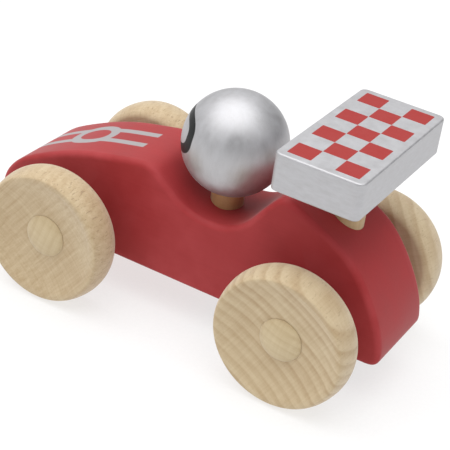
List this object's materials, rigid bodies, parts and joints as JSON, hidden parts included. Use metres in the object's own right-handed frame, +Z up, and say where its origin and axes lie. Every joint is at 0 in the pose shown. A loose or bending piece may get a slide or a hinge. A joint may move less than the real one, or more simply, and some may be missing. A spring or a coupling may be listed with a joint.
{
  "type": "pull back car",
  "caption": "Wooden toy racing car with a clockwork rear axle, turned wheels, a ball-headed driver and a chequered rear wing.",
  "frame": {"origin": "on the ground, under the middle of the car's bounding box", "axes": "+X to the nose, +Y to the driver's left, +Z up"},
  "size_m": [0.126, 0.0654, 0.0694],
  "materials": {
    "red_paint": "matte red paint on sanded beech",
    "silver_paint": "silver metallic paint on beech, with printed marks",
    "beech": "sanded natural beech",
    "axle_steel": "drawn steel",
    "spring_steel": "blued spring steel strip",
    "gear_brass": "hobbed brass",
    "nylon": "moulded natural nylon",
    "black_plastic": "moulded black ABS"
  },
  "bodies": {
    "chassis": {"body": "red_paint", "driver_head": "silver_paint", "driver_neck": "beech", "wing_board": "silver_paint", "wing_post": "beech", "front_bush_left": "nylon", "front_bush_right": "nylon", "motor_case_left": "black_plastic", "motor_case_right": "black_plastic", "idler_pin": "axle_steel", "mainspring": "spring_steel", "case_screw_1": "axle_steel", "case_screw_2": "axle_steel", "motor_cover": "black_plastic", "cover_screw_rear_left": "axle_steel", "cover_screw_rear_right": "axle_steel", "cover_screw_front_left": "axle_steel", "cover_screw_front_right": "axle_steel"},
    "rear_axle_set": {"rear_axle": "axle_steel", "rear_wheel_left": "beech", "rear_wheel_right": "beech", "rear_hub_cap_left": "beech", "rear_hub_cap_right": "beech", "rear_sleeve_left": "nylon", "rear_sleeve_right": "nylon", "axle_pinion": "gear_brass"},
    "front_axle_set": {"front_axle": "axle_steel", "front_wheel_left": "beech", "front_wheel_right": "beech", "front_hub_cap_left": "beech", "front_hub_cap_right": "beech", "front_sleeve_left": "nylon", "front_sleeve_right": "nylon"},
    "idler": {"idler_gear": "nylon"},
    "winder": {"winding_gear": "nylon", "winding_arbor": "axle_steel"}
  },
  "joints": [
    {"name": "rear_axle_spin", "type": "hinge", "parent": "chassis", "child": "rear_axle_set", "pos_m": [-0.041, 0, 0.02], "axis": [0, 1, 0], "continuous": true},
    {"name": "front_axle_spin", "type": "hinge", "parent": "chassis", "child": "front_axle_set", "pos_m": [0.035, 0, 0.02], "axis": [0, 1, 0], "continuous": true},
    {"name": "idler_spin", "type": "hinge", "parent": "chassis", "child": "idler", "pos_m": [-0.03222, 0, 0.022], "axis": [0, 1, 0], "continuous": true},
    {"name": "winder_spin", "type": "hinge", "parent": "chassis", "child": "winder", "pos_m": [-0.02322, 0, 0.022], "axis": [0, 1, 0], "continuous": true}
  ],
  "couplings": [
    {"joint": "idler_spin", "follows": "rear_axle_spin", "ratio": -0.5},
    {"joint": "winder_spin", "follows": "rear_axle_spin", "ratio": 0.25}
  ]
}
